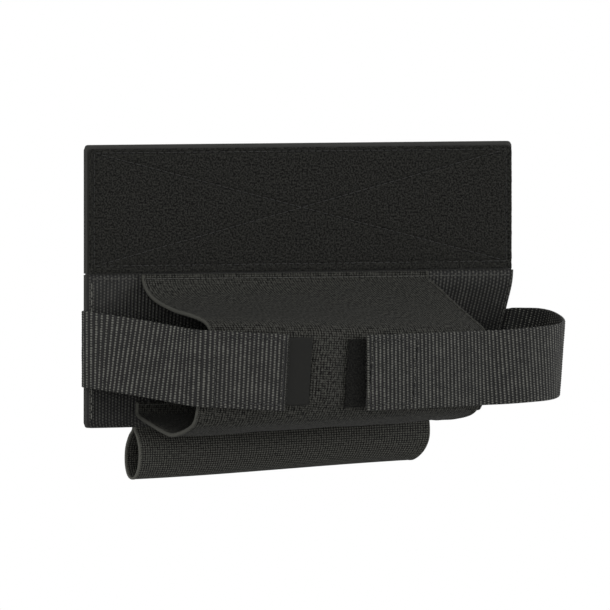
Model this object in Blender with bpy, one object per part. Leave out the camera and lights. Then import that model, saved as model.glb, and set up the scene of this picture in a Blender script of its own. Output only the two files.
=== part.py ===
"""Belt and carrier holder for a folded tourniquet.

A hook-and-loop flap hangs the holder from a plate carrier. Below it a ribbed pouch
panel carries an open elastic sleeve, two webbing straps that close over the sleeve,
and a narrow elastic tube along the bottom edge for a pair of shears.

The frame's origin is the centre of the flap's rear hook face. X runs along the
panel, +Y is the wearer's side and +Z is up, so the sleeve stands forward, to -Y.
Depths in this file are measured forward from the rear face, so y = -depth.
"""

import math

import bmesh
import bpy
from mathutils import Vector

# Panel
PANEL_WIDTH = 0.250
FLAP_HEIGHT = 0.064
POUCH_HEIGHT = 0.0762
CORNER_RADIUS = 0.0025
GAP = 0.0003
SEAM_Z = -FLAP_HEIGHT / 2
LOOP_INSET_SIDE = 0.001
LOOP_INSET_TOP = 0.002

# Layers of the panel, as (rear, front) depths
HOOK_LAYER = (0.0, 0.0012)
FLAP_CORE_LAYER = (0.0015, 0.0025)
LOOP_LAYER = (0.0028, 0.0048)
LINING_LAYER = (0.0, 0.0010)
POUCH_CORE_LAYER = (0.0013, 0.0023)
FACING_LAYER = (0.0026, 0.0048)
FACE_DEPTH = LOOP_LAYER[1]

# The soft pouch panel hangs straight at its left edge and curls back towards its right
# edge, where it turns through the whole angle within a short way of the seam
CURL_ANGLE = math.radians(24.5)
CURL_POWER = 1.6
CURL_START = 0.009

# Elastic sleeve
SLEEVE_LEFT = -0.0909
SLEEVE_RIGHT = 0.0771
ELASTIC = 0.0014
FLANGE_DEPTH = FACE_DEPTH + GAP + ELASTIC / 2
SLEEVE_BULGE = 0.008
FRONT_TOP_Z = -0.0625
FRONT_TOP_DEPTH = (0.0540, 0.0550)
FRONT_LEAN = (0.075, 0.197)
SEAM_SHIFT = 0.0040
SEAM_SHIFT_DEPTH = 0.050
RIM_SLANT = 0.0060

# Straps
STRAP_WIDTH = 0.0381
WEBBING = 0.0018
HOOK_PATCH = 0.0010
LOOP_PATCH = 0.0010
PATCH_LEVEL = 0.0012
HOOK_LEVEL = 0.0026
TAB_LEVEL = 0.0039 + WEBBING / 2
HINGE_PLAY = 0.0003
PATCH_HEIGHT = 0.0345

# Shears tube
TUBE_LEFT = -0.0943
TUBE_RIGHT = 0.0934
TUBE_WALL = 0.0012
TUBE_DROP = 0.0257
TUBE_SKEW = 0.0050
TUBE_SKEW_START = 0.0110

# Sewing thread
THREAD_WIDTH = 0.0006
THREAD_HEIGHT = 0.0004
ROW_INSET = 0.0040
GROOVE_WIDTH = 0.0014
GROOVE_DEPTH = 0.0010

BLACK_PILE = (0.012, 0.012, 0.013)
BLACK_HOOK = (0.016, 0.016, 0.017)
BLACK_WOVEN = (0.018, 0.018, 0.018)
BLACK_WEBBING = (0.028, 0.028, 0.027)
BLACK_ELASTIC = (0.022, 0.022, 0.022)
BLACK_THREAD = (0.035, 0.035, 0.034)
BLACK_LABEL = (0.008, 0.008, 0.009)


def clear_scene():
    for obj in list(bpy.data.objects):
        bpy.data.objects.remove(obj)


def textile(name, colour, roughness):
    made = bpy.data.materials.new(name)
    made.use_nodes = True
    shader = made.node_tree.nodes["Principled BSDF"]
    shader.inputs["Base Color"].default_value = (*colour, 1.0)
    shader.inputs["Roughness"].default_value = roughness
    shader.inputs["Metallic"].default_value = 0.0
    return made


def add_piece(name, points, faces, colour, roughness=0.9):
    """Makes one closed piece of the given world points."""
    mesh = bpy.data.meshes.new(name)
    mesh.from_pydata([tuple(p) for p in points], [], faces)
    shape = bmesh.new()
    shape.from_mesh(mesh)
    bmesh.ops.recalc_face_normals(shape, faces=shape.faces)
    shape.to_mesh(mesh)
    shape.free()
    mesh.shade_smooth()
    mesh.set_sharp_from_angle(angle=math.radians(35))
    mesh.materials.append(textile(name, colour, roughness))
    piece = bpy.data.objects.new(name, mesh)
    bpy.context.scene.collection.objects.link(piece)
    return piece


def slab(name, inner, outer, colour, closed=False):
    """A sheet between two grids of points. A closed sheet joins its last column to its first."""
    rows = len(inner)
    columns = len(inner[0])
    points = [p for row in inner for p in row] + [p for row in outer for p in row]
    shift = rows * columns
    spans = columns if closed else columns - 1

    def at(row, column):
        return row * columns + column % columns

    faces = []
    for i in range(rows - 1):
        for j in range(spans):
            quad = (at(i, j), at(i, j + 1), at(i + 1, j + 1), at(i + 1, j))
            faces.append(quad)
            faces.append(tuple(k + shift for k in reversed(quad)))
    for j in range(spans):
        for i in (0, rows - 1):
            faces.append((at(i, j), at(i, j + 1), at(i, j + 1) + shift, at(i, j) + shift))
    if not closed:
        for i in range(rows - 1):
            for j in (0, columns - 1):
                faces.append((at(i, j), at(i + 1, j), at(i + 1, j) + shift, at(i, j) + shift))
    return add_piece(name, points, faces, colour)


def offset(rows, distance, closed=False):
    """The grid moved along its own normal, which points forward on every sheet here."""
    count = len(rows)
    columns = len(rows[0])
    moved = []
    for i in range(count):
        line = []
        for j in range(columns):
            along = rows[min(i + 1, count - 1)][j] - rows[max(i - 1, 0)][j]
            if closed:
                across = rows[i][(j + 1) % columns] - rows[i][j - 1]
            else:
                across = rows[i][min(j + 1, columns - 1)] - rows[i][max(j - 1, 0)]
            line.append(rows[i][j] + across.cross(along).normalized() * distance)
        moved.append(line)
    return moved


def sheet(name, rows, thickness, colour, closed=False, level=0.0):
    """A sheet of even thickness, centred on a grid or raised from it by level."""
    inner = offset(rows, level - thickness / 2, closed)
    outer = offset(rows, level + thickness / 2, closed)
    return slab(name, inner, outer, colour, closed)


def steps(start, end, count):
    return [start + (end - start) * i / (count - 1) for i in range(count)]


def smooth_path(knots, per_span):
    """A Catmull-Rom curve through points of any number of coordinates."""
    path = []
    last = len(knots) - 1
    for k in range(last):
        p0, p1 = knots[max(k - 1, 0)], knots[k]
        p2, p3 = knots[k + 1], knots[min(k + 2, last)]
        for step in range(per_span):
            t = step / per_span
            path.append(tuple(
                0.5 * (2 * b + (c - a) * t + (2 * a - 5 * b + 4 * c - d) * t * t
                       + (3 * b - a - 3 * c + d) * t ** 3)
                for a, b, c, d in zip(p0, p1, p2, p3)
            ))
    path.append(tuple(knots[last]))
    return path


def lengths_along(path):
    """The distance along the path to each of its points, from their first three values."""
    total = [0.0]
    for a, b in zip(path, path[1:]):
        total.append(total[-1] + (Vector(b[:3]) - Vector(a[:3])).length)
    return total


def sample(path, lengths, distance):
    for k in range(len(path) - 1):
        if distance <= lengths[k + 1] or k == len(path) - 2:
            share = (distance - lengths[k]) / (lengths[k + 1] - lengths[k])
            return tuple(a + (b - a) * share for a, b in zip(path[k], path[k + 1]))


# The flap: flat layers, outlined in X and Z


def plate(name, outline, layer, colour):
    """A flat layer with the given outline, between two depths."""
    count = len(outline)
    points = [Vector((x, -layer[0], z)) for x, z in outline]
    points += [Vector((x, -layer[1], z)) for x, z in outline]
    faces = [tuple(range(count)), tuple(range(2 * count - 1, count - 1, -1))]
    faces += [(i, (i + 1) % count, (i + 1) % count + count, i + count) for i in range(count)]
    return add_piece(name, points, faces, colour)


def flap_outline(side_inset=0.0, top_inset=0.0):
    """The flap's shape: square at the seam, rounded at its two top corners."""
    half = PANEL_WIDTH / 2 - side_inset
    top = FLAP_HEIGHT / 2 - top_inset
    outline = [(half, SEAM_Z + GAP)]
    for side in (1, -1):
        angles = steps(0, math.pi / 2, 4) if side > 0 else steps(math.pi / 2, math.pi, 4)
        centre = (side * (half - CORNER_RADIUS), top - CORNER_RADIUS)
        outline += [
            (centre[0] + CORNER_RADIUS * math.cos(a), centre[1] + CORNER_RADIUS * math.sin(a))
            for a in angles
        ]
    outline.append((-half, SEAM_Z + GAP))
    return outline


def frame_rows(left, right, low, high, width, place):
    """A rectangular row of thread: the ring of points inside and outside of the seam line."""
    across = steps(left, right, 7)
    corners = [(x, low) for x in across[:-1]] + [(right, low)]
    corners += [(x, high) for x in reversed(across)]
    rings = []
    for shift in (-width / 2, width / 2):
        ring = []
        for x, v in corners:
            out_x = shift * (1 if x == right else -1 if x == left else 0)
            out_v = shift * (1 if v == high else -1)
            ring.append(place(x + out_x, v + out_v))
        rings.append(ring)
    return rings


def border_row(name, width, layer, colour):
    """The rectangular row around the flap, as thread or as the groove it lies in."""
    half = PANEL_WIDTH / 2 - ROW_INSET
    tall = FLAP_HEIGHT / 2 - ROW_INSET
    rings = [
        frame_rows(-half, half, -tall, tall, width, lambda x, v, d=depth: Vector((x, -d, v)))
        for depth in layer
    ]
    return slab(name, rings[0], rings[1], colour, closed=True)


def cross_row(name, width, layer, colour):
    """The two diagonal rows, which stop just short of the border row."""
    reach_x = PANEL_WIDTH / 2 - ROW_INSET - 0.0040
    reach_z = FLAP_HEIGHT / 2 - ROW_INSET - 0.0022
    slope = Vector((reach_x, reach_z)).normalized()
    side = Vector((-slope.y, slope.x)) * (width / 2)
    notch_x = side.length / slope.y
    notch_z = side.length / slope.x
    outline = [
        (notch_x, 0.0), (reach_x - side.x, reach_z - side.y), (reach_x + side.x, reach_z + side.y),
        (0.0, notch_z), (-reach_x - side.x, reach_z + side.y), (-reach_x + side.x, reach_z - side.y),
        (-notch_x, 0.0), (-reach_x + side.x, -reach_z + side.y), (-reach_x - side.x, -reach_z - side.y),
        (0.0, -notch_z), (reach_x + side.x, -reach_z - side.y), (reach_x - side.x, -reach_z + side.y),
    ]
    return plate(name, outline, layer, colour)


def sink(field, cutter):
    """Presses a row of stitches into the pile."""
    cutter.hide_render = True
    cutter.display_type = "WIRE"
    cut = field.modifiers.new(cutter.name, "BOOLEAN")
    cut.object = cutter


def build_flap():
    plate("rear_hook_field", flap_outline(), HOOK_LAYER, BLACK_HOOK)
    plate("flap_core", flap_outline(), FLAP_CORE_LAYER, BLACK_WOVEN)
    loop_outline = flap_outline(LOOP_INSET_SIDE, LOOP_INSET_TOP)
    field = plate("front_loop_field", loop_outline, LOOP_LAYER, BLACK_PILE)
    groove = (FACE_DEPTH - GROOVE_DEPTH, FACE_DEPTH + GROOVE_DEPTH)
    sink(field, border_row("border_groove", GROOVE_WIDTH, groove, BLACK_PILE))
    sink(field, cross_row("cross_groove", GROOVE_WIDTH, groove, BLACK_PILE))
    thread = (FACE_DEPTH - GROOVE_DEPTH + GAP, FACE_DEPTH - GROOVE_DEPTH + GAP + THREAD_HEIGHT)
    border_row("flap_border_thread", THREAD_WIDTH, thread, BLACK_THREAD)
    cross_row("flap_cross_thread", THREAD_WIDTH, thread, BLACK_THREAD)


# The pouch panel: the same layers continued below the seam, curled back to the right


def curl_angle(x):
    share = min(max((x + PANEL_WIDTH / 2) / PANEL_WIDTH, 0.0), 1.0)
    return CURL_ANGLE * (1 - (1 - share) ** CURL_POWER)


def on_pouch(x, below, depth):
    """A point of the pouch panel: x along it, a distance below the seam, and a depth."""
    angle = curl_angle(x)
    turned = angle * min(max(below / CURL_START, 0.0), 1.0)
    straight = below - CURL_START * min(max(below / CURL_START, 0.0), 1.0)
    back = straight * math.sin(angle)
    down = below
    if angle > 0 and below > 0:
        radius = CURL_START / angle
        back += radius * (1 - math.cos(turned))
        down = straight * math.cos(angle) + radius * math.sin(turned)
    forward = depth * math.cos(turned) - back
    return Vector((x, -forward, SEAM_Z - down - depth * math.sin(turned)))


def clear_of_facing(x, depth, z):
    """The point, or the nearest one that leaves room for the elastic on the facing."""
    angle = curl_angle(x)
    down = SEAM_Z - z
    if angle < 1e-6:
        return on_pouch(x, down, max(depth, FLANGE_DEPTH))
    radius = CURL_START / angle
    around = math.atan2(down, depth + radius)
    if around < angle:
        return on_pouch(x, around * radius, max(math.hypot(down, depth + radius) - radius, FLANGE_DEPTH))
    ahead = depth + radius * (1 - math.cos(angle))
    under = down - radius * math.sin(angle)
    off_panel = ahead * math.cos(angle) + under * math.sin(angle)
    below = CURL_START + under * math.cos(angle) - ahead * math.sin(angle)
    return on_pouch(x, below, max(off_panel, FLANGE_DEPTH))


def pouch_layer(name, layer, colour):
    """One layer of the pouch panel, with its two bottom corners rounded."""
    square = steps(GAP, CURL_START, 4) + steps(CURL_START, POUCH_HEIGHT - CORNER_RADIUS, 5)[1:]
    rounded = [
        POUCH_HEIGHT - CORNER_RADIUS * (1 - math.sin(a)) for a in steps(0, math.pi / 2, 4)[1:]
    ]
    grids = ([], [])
    for below in square + rounded:
        into = max(below - POUCH_HEIGHT + CORNER_RADIUS, 0.0)
        pulled_in = CORNER_RADIUS - math.sqrt(max(CORNER_RADIUS ** 2 - into ** 2, 0.0))
        half = PANEL_WIDTH / 2 - pulled_in
        columns = steps(-half, half, 19)
        for grid, depth in zip(grids, layer):
            grid.append([on_pouch(x, below, depth) for x in columns])
    slab(name, grids[0], grids[1], colour)


def panel_row(name, x, start, end):
    """An upright row of thread on the facing."""
    half = THREAD_WIDTH / 2
    depth = FACE_DEPTH + GAP
    grids = [
        [[on_pouch(x + side, below, d) for side in (-half, half)] for below in steps(start, end, 9)]
        for d in (depth, depth + THREAD_HEIGHT)
    ]
    slab(name, grids[0], grids[1], BLACK_THREAD)


def seam_row(name, below, depth, left, right):
    """A row of thread that runs along the panel."""
    half = THREAD_WIDTH / 2
    grids = [
        [[on_pouch(x, below + side, d) for side in (-half, half)] for x in steps(left, right, 17)]
        for d in (depth, depth + THREAD_HEIGHT)
    ]
    slab(name, grids[0], grids[1], BLACK_THREAD)


def build_pouch_panel():
    pouch_layer("rear_lining", LINING_LAYER, BLACK_WOVEN)
    pouch_layer("pouch_core", POUCH_CORE_LAYER, BLACK_WOVEN)
    pouch_layer("ribbed_facing", FACING_LAYER, BLACK_WEBBING)
    edge = PANEL_WIDTH / 2 - 0.002
    panel_row("facing_thread_left", -edge, 0.004, POUCH_HEIGHT - 0.004)
    panel_row("facing_thread_right", edge, 0.004, POUCH_HEIGHT - 0.004)


# The elastic sleeve


def sleeve_share(x):
    return (x - SLEEVE_LEFT) / (SLEEVE_RIGHT - SLEEVE_LEFT)


def bulge(x):
    centred = 2 * sleeve_share(x) - 1
    return SLEEVE_BULGE * (1 - centred ** 2)


def between(pair, x):
    return pair[0] + (pair[1] - pair[0]) * sleeve_share(x)


def front_depth(x, z):
    """The depth of the sleeve's front face, which leans back towards its foot."""
    return between(FRONT_TOP_DEPTH, x) + bulge(x) + between(FRONT_LEAN, x) * (z - FRONT_TOP_Z)


def smooth_step(t):
    t = min(1.0, max(0.0, t))
    return t * t * (3 - 2 * t)


def sheared(x, depth, z):
    """The elastic's own place along the panel: its two seams lie further left than its front,
    and the upper front corner of its left rim is drawn in."""
    drawn_in = smooth_step((-0.038 - z) / 0.023) * smooth_step((z + 0.080) / 0.019)
    drawn_in *= smooth_step(depth / 0.020) * (1 - sleeve_share(x)) ** 2
    return x - SEAM_SHIFT * max(0.0, 1 - depth / SEAM_SHIFT_DEPTH) + RIM_SLANT * drawn_in


def sleeve_profile(x):
    """The sleeve's section at x, from its top seam round the front to its bottom seam."""
    def knot(left, right, swell):
        depth = between((left[0], right[0]), x) + swell * bulge(x)
        return (depth, between((left[1], right[1]), x))

    def on_facing(below, depth):
        point = on_pouch(x, below, depth)
        return (-point.y, point.z)

    knots = [
        on_facing(0.0004, FLANGE_DEPTH),
        on_facing(0.0030, FLANGE_DEPTH),
        knot((0.0085, -0.0400), (0.0085, -0.0380), 0.05),
        knot((0.0150, -0.0452), (0.0160, -0.0418), 0.15),
        knot((0.0280, -0.0495), (0.0280, -0.0482), 0.4),
        knot((0.0410, -0.0522), (0.0410, -0.0550), 0.7),
        knot((0.0500, -0.0552), (0.0500, -0.0598), 0.95),
        knot((0.0536, -0.0597), (0.0542, -0.0632), 1.0),
        (front_depth(x, -0.0670), -0.0670),
        (front_depth(x, -0.0820), -0.0820),
        (front_depth(x, -0.0965), -0.0965),
        knot((0.0467, -0.1068), (0.0425, -0.1022), 0.8),
        knot((0.0320, -0.1119), (0.0290, -0.1050), 0.5),
        knot((0.0215, -0.1101), (0.0190, -0.1056), 0.3),
        knot((0.0128, -0.1068), (0.0080, -0.1056), 0.15),
        on_facing(0.0705, FLANGE_DEPTH + 0.0030),
        on_facing(0.0680, FLANGE_DEPTH),
        on_facing(0.0635, FLANGE_DEPTH),
    ]
    return [clear_of_facing(sheared(x, d, z), d, z) for d, z in smooth_path(knots, 3)]


def build_sleeve():
    rows = [sleeve_profile(x) for x in steps(SLEEVE_LEFT, SLEEVE_RIGHT, 13)]
    sheet("elastic_sleeve", rows, ELASTIC, BLACK_ELASTIC)
    outside = FLANGE_DEPTH + ELASTIC / 2 + GAP
    left = SLEEVE_LEFT - SEAM_SHIFT + 0.002
    right = SLEEVE_RIGHT - SEAM_SHIFT - 0.002
    seam_row("sleeve_top_thread", 0.0024, outside, left, right)
    seam_row("sleeve_bottom_thread", 0.0648, outside, left, right)


# What lies on the sleeve's front face


def front_tilt(x):
    return math.atan(between(FRONT_LEAN, x))


def front_rows(left, right, centre_left, centre_right, height, count):
    """A grid on the sleeve's front face, from its upper edge to its lower edge in each row."""
    rows = []
    for x in steps(left, right, count):
        z = centre_left + (centre_right - centre_left) * (x - left) / (right - left)
        down = Vector((0, math.sin(front_tilt(x)), -math.cos(front_tilt(x))))
        centre = Vector((x, -front_depth(x, z), z))
        rows.append([centre + down * v for v in (-height / 2, height / 2)])
    return rows


def front_patch(name, span, centres, height, thickness, level, colour):
    rows = front_rows(span[0], span[1], centres[0], centres[1], height, 9)
    sheet(name, rows, thickness, colour, level=level + thickness / 2)


def tab_thread(name, span, centres, tall):
    """The box of stitches that holds a hook patch to its tab."""
    def place(x, v):
        z = centres[0] + (centres[1] - centres[0]) * (x - span[0]) / (span[1] - span[0])
        down = Vector((0, math.sin(front_tilt(x)), -math.cos(front_tilt(x))))
        return Vector((x, -front_depth(x, z), z)) - down * v

    rows = frame_rows(span[0], span[1], -tall / 2, tall / 2, THREAD_WIDTH, place)
    level = TAB_LEVEL + WEBBING / 2 + GAP
    lower = [[p - Vector((0, level, 0)) for p in ring] for ring in rows]
    upper = [[p - Vector((0, level + THREAD_HEIGHT, 0)) for p in ring] for ring in rows]
    slab(name, lower, upper, BLACK_THREAD, closed=True)


# The straps: each knot is x, depth, height of the centre line, and tilt of the width


LEFT_RUN = [
    (-0.1265, 0.0030, -0.0690, 0.0),
    (-0.1271, 0.0040, -0.0690, 0.0),
    (-0.1272, 0.0072, -0.0692, 0.0),
    (-0.1247, 0.0115, -0.0698, 0.01),
    (-0.1168, 0.0195, -0.0714, 0.02),
    (-0.1060, 0.0330, -0.0740, 0.04),
    (-0.0970, 0.0480, -0.0768, 0.06),
    (-0.0935, 0.0550, -0.0777, 0.07),
]
RIGHT_ROOT_BELOW = 0.0392
ROOT_DEPTH = 0.0030
RIGHT_RUN = [
    (0.1290, -0.0106, -0.0692, 0.41),
    (0.1326, -0.0054, -0.0694, 0.37),
    (0.1361, 0.0055, -0.0700, 0.29),
    (0.1369, 0.0180, -0.0717, 0.20),
    (0.1348, 0.0310, -0.0744, 0.14),
    (0.1283, 0.0425, -0.0766, 0.13),
    (0.1173, 0.0510, -0.0779, 0.14),
    (0.1030, 0.0555, -0.0787, 0.16),
    (0.0890, 0.0570, -0.0794, 0.18),
]
LEFT_TAB = (-0.0880, -0.0461)
LEFT_TAB_Z = (-0.0781, -0.0805)
RIGHT_TAB = (0.0750, -0.0014)
RIGHT_TAB_Z = (-0.0798, -0.0812)
LEFT_HINGE_X = -0.0895
RIGHT_HINGE_X = 0.0765
RIGHT_CUT = 0.10


def tab_knots(span, centres, count):
    knots = []
    for x in steps(span[0], span[1], count):
        z = centres[0] + (centres[1] - centres[0]) * (x - span[0]) / (span[1] - span[0])
        knots.append((x, front_depth(x, z) + TAB_LEVEL, z, front_tilt(x)))
    return knots


def strap_rows(path, start, end, count, cut=0.0):
    """The grid of a strap between two distances along its centre line.

    Its last row is cut at a slant, so that its upper corner reaches further on.
    """
    lengths = lengths_along(path)
    rows = []
    for share in steps(0.0, 1.0, count):
        row = []
        for v in (-STRAP_WIDTH / 2, STRAP_WIDTH / 2):
            distance = start + (end - start) * share - cut * share * v
            x, depth, z, tilt = sample(path, lengths, distance)
            row.append(Vector((x, -depth + v * math.sin(tilt), z - v * math.cos(tilt))))
        rows.append(row)
    return rows


def build_strap(side, run, tab, tab_z, hinge_x, cut):
    """A strap in two nodes, split at the corner of the sleeve where its tab peels off."""
    path = smooth_path(run + tab_knots(tab, tab_z, 5), 6)
    lengths = lengths_along(path)
    toward = 1 if tab[1] > tab[0] else -1
    passed = [k for k in range(len(path)) if k > 40 and (path[k][0] - hinge_x) * toward >= 0]
    corner = lengths[passed[0]]
    sheet(side + "_strap", strap_rows(path, 0.0, corner - HINGE_PLAY, 29), WEBBING, BLACK_WEBBING)
    tab_rows = strap_rows(path, corner + HINGE_PLAY, lengths[-1] - cut * STRAP_WIDTH / 2, 13, cut)
    sheet(side + "_tab", tab_rows, WEBBING, BLACK_WEBBING)


def build_straps():
    build_strap("left", LEFT_RUN, LEFT_TAB, LEFT_TAB_Z, LEFT_HINGE_X, 0.0)
    root = on_pouch(0.1269, RIGHT_ROOT_BELOW, ROOT_DEPTH)
    right_run = [(root.x, -root.y, root.z, CURL_ANGLE)] + RIGHT_RUN
    build_strap("right", right_run, RIGHT_TAB, RIGHT_TAB_Z, RIGHT_HINGE_X, RIGHT_CUT)

    left_patch = (-0.0860, -0.0478)
    right_patch = (0.0020, 0.0300)
    front_patch("left_loop_patch", (-0.0885, -0.0495), (-0.0785, -0.0800), PATCH_HEIGHT,
                LOOP_PATCH, PATCH_LEVEL, BLACK_PILE)
    front_patch("right_loop_patch", (-0.0098, 0.0330), (-0.0812, -0.0806), PATCH_HEIGHT,
                LOOP_PATCH, PATCH_LEVEL, BLACK_PILE)
    front_patch("left_hook_patch", left_patch, (-0.0782, -0.0804), PATCH_HEIGHT,
                HOOK_PATCH, HOOK_LEVEL, BLACK_HOOK)
    front_patch("right_hook_patch", right_patch, (-0.0812, -0.0806), PATCH_HEIGHT,
                HOOK_PATCH, HOOK_LEVEL, BLACK_HOOK)
    front_patch("label", (-0.0472, -0.0312), (-0.0797, -0.0797), 0.0340,
                0.0006, HOOK_LEVEL, BLACK_LABEL)
    tab_thread("left_tab_thread", (-0.0850, -0.0484), (-0.0783, -0.0804), 0.0325)
    tab_thread("right_tab_thread", (0.0026, 0.0296), (-0.0812, -0.0806), 0.0325)


# The shears tube


def tube_profile(x):
    """The tube's closed section at x, pinched where it is sewn to the panel's foot.

    Its lower edge is a little shorter than its seam, by TUBE_SKEW at the right end.
    """
    middle = 0.0030
    foot = POUCH_HEIGHT
    knots = [
        (middle + 0.0008, foot + 0.0022), (middle + 0.0040, foot + 0.0052),
        (middle + 0.0064, foot + 0.0110), (middle + 0.0062, foot + 0.0185),
        (middle + 0.0036, foot + 0.0240), (middle, foot + TUBE_DROP),
        (middle - 0.0036, foot + 0.0240), (middle - 0.0062, foot + 0.0185),
        (middle - 0.0064, foot + 0.0110), (middle - 0.0040, foot + 0.0052),
        (middle - 0.0008, foot + 0.0022),
    ]
    share = (x - TUBE_LEFT) / (TUBE_RIGHT - TUBE_LEFT)
    section = []
    for depth, below in smooth_path(knots, 3):
        lower = max(0.0, (below - foot - TUBE_SKEW_START) / (TUBE_DROP - TUBE_SKEW_START))
        section.append(on_pouch(x - TUBE_SKEW * share * lower ** 2, below, depth))
    return section


def build_tube():
    rows = [tube_profile(x) for x in steps(TUBE_LEFT, TUBE_RIGHT, 13)]
    sheet("shears_tube", rows, TUBE_WALL, BLACK_ELASTIC, closed=True)
    seam_row("tube_thread", POUCH_HEIGHT - 0.0022, FACE_DEPTH + GAP, TUBE_LEFT, TUBE_RIGHT)


clear_scene()
build_flap()
build_pouch_panel()
build_sleeve()
build_straps()
build_tube()
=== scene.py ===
"""The looks of the tourniquet holder: fabrics, webbing, elastic, pile and stitches.

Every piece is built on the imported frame. The frame's origin is the centre of the
flap's rear hook face, X runs along the panel, -Y is the front and +Z is up. Depths are
measured forward from the rear face, so y = -depth. Each sheet carries a UV map named
"weave" in millimetres along its own warp and weft, which its material reads.
"""

import math

import bpy
import numpy as np
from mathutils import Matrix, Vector


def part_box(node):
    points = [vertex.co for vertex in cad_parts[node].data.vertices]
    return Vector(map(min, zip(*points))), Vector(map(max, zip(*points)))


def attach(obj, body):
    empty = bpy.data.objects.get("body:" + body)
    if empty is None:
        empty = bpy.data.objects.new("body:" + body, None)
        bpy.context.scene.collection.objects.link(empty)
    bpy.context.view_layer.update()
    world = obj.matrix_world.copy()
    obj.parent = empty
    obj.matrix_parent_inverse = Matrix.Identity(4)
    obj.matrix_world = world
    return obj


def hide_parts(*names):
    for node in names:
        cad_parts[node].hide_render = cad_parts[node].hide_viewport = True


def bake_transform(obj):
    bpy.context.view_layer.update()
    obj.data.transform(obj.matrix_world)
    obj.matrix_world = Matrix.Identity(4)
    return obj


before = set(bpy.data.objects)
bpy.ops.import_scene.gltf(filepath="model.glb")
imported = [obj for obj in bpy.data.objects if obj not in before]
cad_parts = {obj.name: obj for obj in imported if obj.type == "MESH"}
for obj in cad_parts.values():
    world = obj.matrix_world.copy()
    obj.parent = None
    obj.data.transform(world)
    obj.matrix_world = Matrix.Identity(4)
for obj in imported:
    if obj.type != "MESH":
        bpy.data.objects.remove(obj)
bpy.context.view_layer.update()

MM = 0.001
rng = np.random.default_rng(7)

# The panel, from the frame
PANEL_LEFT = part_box("ribbed_facing")[0].x
PANEL_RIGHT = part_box("ribbed_facing")[1].x
PANEL_WIDTH = PANEL_RIGHT - PANEL_LEFT
FLAP_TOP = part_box("rear_hook_field")[1].z
SEAM_Z = -FLAP_TOP
LOOP_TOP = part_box("front_loop_field")[1].z
LOOP_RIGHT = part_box("front_loop_field")[1].x
FACE_DEPTH = -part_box("front_loop_field")[0].y
POUCH_HEIGHT = 76.2 * MM
CORNER_RADIUS = 2.5 * MM
GAP = 0.3 * MM

# Layers of the panel, as (rear, front) depths
HOOK_LAYER = (0.0, 1.2 * MM)
CORE_LAYER = (1.35 * MM, 2.7 * MM)
LOOP_LAYER = (2.8 * MM, FACE_DEPTH)
LINING_LAYER = (0.0, 1.1 * MM)
FACING_LAYER = (2.75 * MM, 4.7 * MM)

# The soft pouch panel hangs straight at its left edge and curls back towards its right
# edge, where it turns through the whole angle within a short way of the seam
CURL_ANGLE = math.radians(24.5)
CURL_POWER = 1.6
CURL_START = 9 * MM

# Elastic sleeve
SLEEVE_LEFT = -90.9 * MM
SLEEVE_RIGHT = 77.1 * MM
ELASTIC = 1.4 * MM
FLANGE_DEPTH = FACE_DEPTH + GAP + ELASTIC / 2
SLEEVE_BULGE = 8 * MM
FRONT_TOP_Z = -62.5 * MM
FRONT_TOP_DEPTH = (54 * MM, 55 * MM)
FRONT_LEAN = (0.075, 0.197)
SEAM_SHIFT = 4 * MM
SEAM_SHIFT_DEPTH = 50 * MM
RIM_SLANT = 6 * MM
SLEEVE_LENGTH = 177 * MM
SWELL = 3.2 * MM

# Straps
STRAP_WIDTH = 38.1 * MM
WEBBING = 1.8 * MM
TAB_LEVEL = 4.8 * MM
PATCH_HEIGHT = 34.5 * MM

# Rows of stitches that run along the pouch panel, below its seam
TOP_ROW_BELOW = 2.4 * MM
FOOT_ROW_BELOW = 64.8 * MM
TUBE_ROW_BELOW = POUCH_HEIGHT - 2.2 * MM
ON_FACING = FACE_DEPTH - 0.05 * MM

# Shears tube
TUBE_LEFT = -94.3 * MM
TUBE_RIGHT = 93.4 * MM
TUBE_WALL = 1.2 * MM
TUBE_DROP = 25.7 * MM
TUBE_SKEW = 5 * MM
TUBE_SKEW_START = 11 * MM

# Weaves
STRAP_RIB = 2.34 * MM
STRAP_PICK = 1.27 * MM
FACING_RIB = 2.1 * MM
FACING_PICK = 1.5 * MM
SLEEVE_RIB = 1.5 * MM
TUBE_RIB = 1.6 * MM
ELASTIC_PICK = 1.15 * MM

# A strap's inner face has this much added to its v, in millimetres, so that its material
# can tell it from the outer face and paint it darker, as painted shade
INNER_V = 600

# How far a stitch rises, and stitches that are shorter and closer than the usual ones
STITCH_LIFT = 0.25 * MM
FINE_STITCH = {"pitch": 3.2 * MM, "length": 2.6 * MM}


# Numbers on grids


def steps(start, end, count):
    """Evenly spaced numbers, both ends included."""
    return np.linspace(start, end, count)


def line_between(start, end, count):
    """Evenly spaced points on a straight line."""
    start = np.array(start)
    return steps(0, 1, count)[:, None] * (np.array(end) - start) + start


def box_sides(left, right, top, foot):
    """The two ends of each side of a box, from its top left corner round."""
    corners = [(left, top), (right, top), (right, foot), (left, foot)]
    return list(zip(corners, corners[1:] + corners[:1]))


def edged(length, step, edge):
    """Distances across a sheet, closer together where its edge is rounded."""
    rounding = edge * np.array([0.0, 0.06, 0.25, 0.58])
    middle = steps(edge, length - edge, max(int(round((length - 2 * edge) / step)), 2) + 1)
    return np.concatenate([rounding, middle, length - rounding[::-1]])


def finer_rims(u, start, end, count):
    """Distances across a sheet, with more of them beside both of its rims."""
    extra = steps(start, end, count) * MM
    return np.unique(np.concatenate([u, extra, u[-1] - extra]))


def unit(vectors):
    return vectors / np.maximum(np.linalg.norm(vectors, axis=-1, keepdims=True), 1e-12)


def stack(x, y, z):
    return np.stack(np.broadcast_arrays(x, y, z), axis=-1).astype(float)


def ease(x):
    x = np.clip(x, 0, 1)
    return x * x * (3 - 2 * x)


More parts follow.
